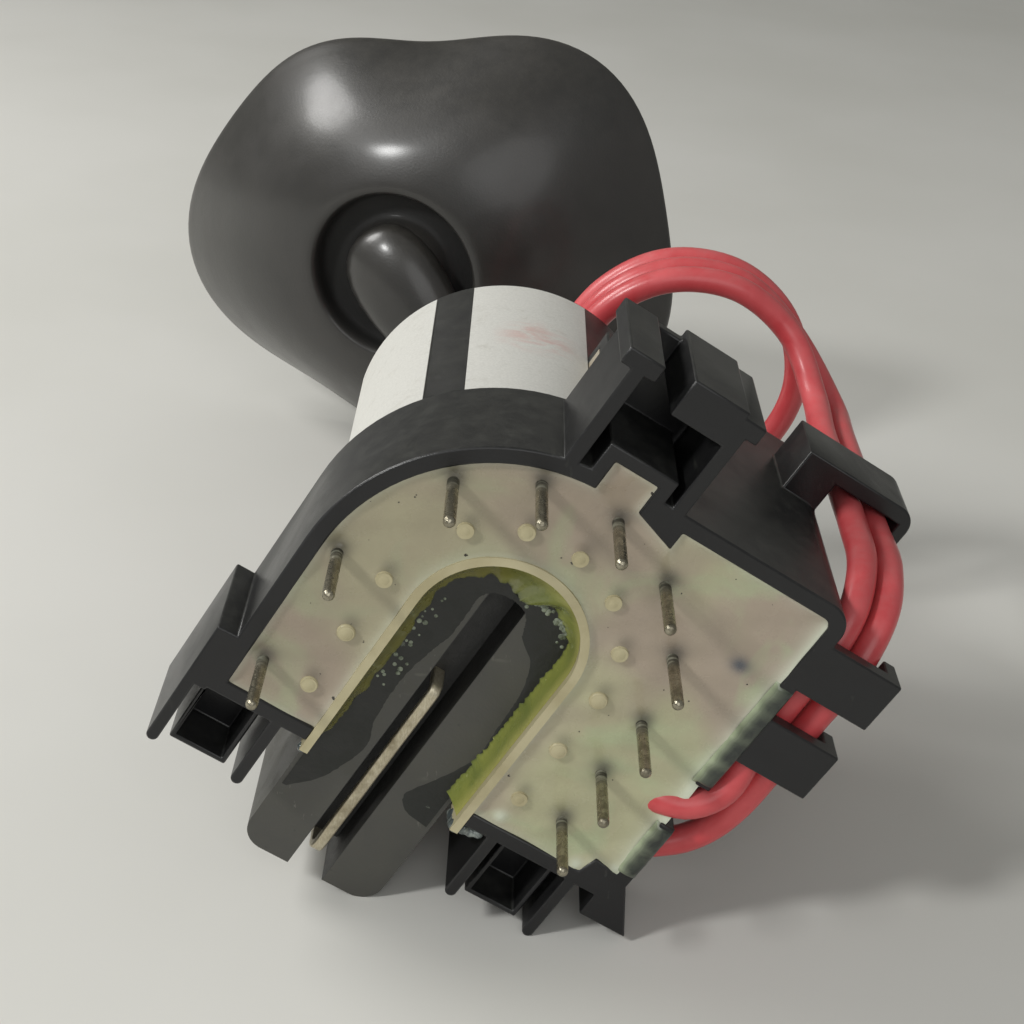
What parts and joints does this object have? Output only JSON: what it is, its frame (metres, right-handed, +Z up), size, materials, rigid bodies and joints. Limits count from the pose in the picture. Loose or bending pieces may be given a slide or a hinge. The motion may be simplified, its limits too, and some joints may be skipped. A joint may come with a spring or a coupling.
{
  "type": "flyback transformer",
  "caption": "Potted flyback transformer with ferrite core, terminal pins, focus box, red leads and a rubber anode cap, lying on its side.",
  "frame": {"origin": "on the table under the middle of the case, without the leads and the cap", "axes": "+Y along the coil axis, away from the terminal pins; +Z up from the table; +X to the right as seen from the pins"},
  "size_m": [0.1061, 0.1554, 0.0754],
  "materials": {
    "case": "satin black",
    "potting": "cast resin",
    "cream_plastic": "moulded",
    "copper": "enamelled wire",
    "ferrite": "ground ferrite",
    "epoxy": "cured epoxy",
    "spring_steel": "plated",
    "tinned": "tinned",
    "label": "bare paper label",
    "knob": "moulded",
    "lead": "smooth sheath",
    "rubber": "semi-gloss",
    "film": "film",
    "diode": "moulded",
    "ceramic": "fired"
  },
  "bodies": {
    "case": {"housing": "case", "potting": "potting", "primary_bobbin": "cream_plastic", "primary_winding": "copper", "secondary_bobbin": "cream_plastic", "secondary_winding": "copper", "rectifier_diodes": "diode", "focus_divider": "ceramic", "terminal_pins": "tinned", "core_lower": "ferrite", "core_upper": "ferrite", "core_gap_spacers": "film", "core_seal": "epoxy", "core_clip": "spring_steel", "label_left": "label", "label_right": "label", "focus_lead": "lead", "focus_ferrule": "tinned", "anode_lead": "lead", "anode_cap": "rubber", "anode_clip": "spring_steel"},
    "focus_knob": {"focus_knob": "knob"},
    "screen_knob": {"screen_knob": "knob"}
  },
  "joints": [
    {"name": "focus_knob_turn", "type": "hinge", "parent": "case", "child": "focus_knob", "pos_m": [0.02608, -0.0007, 0.03484], "axis": [0.8837, 0, -0.468], "range_deg": [-135, 135]},
    {"name": "screen_knob_turn", "type": "hinge", "parent": "case", "child": "screen_knob", "pos_m": [0.01906, -0.0007, 0.02158], "axis": [0.8837, 0, -0.468], "range_deg": [-135, 135]}
  ]
}
